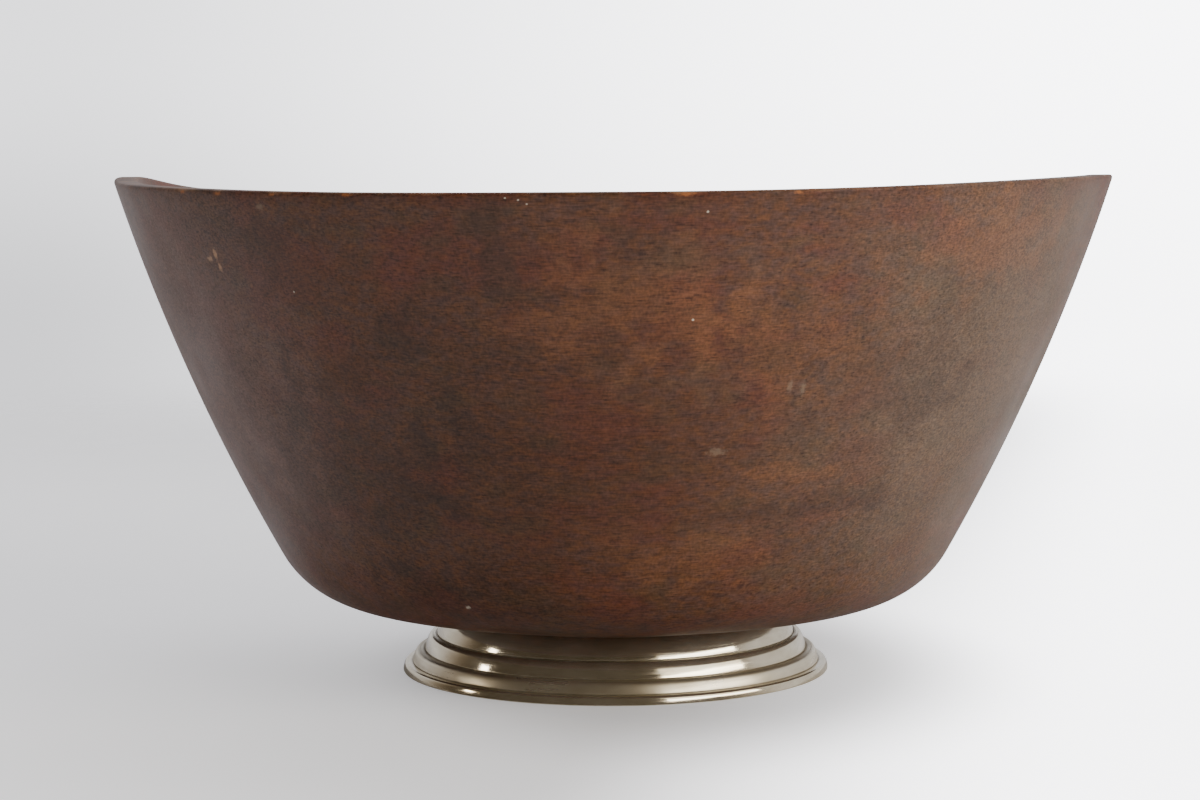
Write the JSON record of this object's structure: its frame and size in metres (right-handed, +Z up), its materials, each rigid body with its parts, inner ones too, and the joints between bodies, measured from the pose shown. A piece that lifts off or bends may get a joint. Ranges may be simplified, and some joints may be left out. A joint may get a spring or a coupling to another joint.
{
  "type": "wooden bowl",
  "caption": "Turned wooden bowl with a rim that rises to a tip at each end, standing on a low stepped silver foot ring with a wood core and felt pad.",
  "frame": {"origin": "on the table, on the bowl's own axis, at the centre of the foot's flat lower face", "axes": "+Z up along the bowl's axis; +X along the wood's grain, towards one raised tip of the rim; -Y towards the viewer of the picture"},
  "size_m": [0.254, 0.2502, 0.1283],
  "materials": {
    "stained_wood": "satin",
    "silver": "polished",
    "bare_wood": "matte",
    "felt": "matte",
    "screw_brass": "satin"
  },
  "bodies": {
    "root": {"bowl_body": "stained_wood", "foot_shell": "silver", "foot_core": "bare_wood", "base_pad": "felt", "foot_screw_1": "screw_brass", "foot_screw_2": "screw_brass", "foot_screw_3": "screw_brass", "foot_screw_4": "screw_brass"}
  },
  "joints": []
}
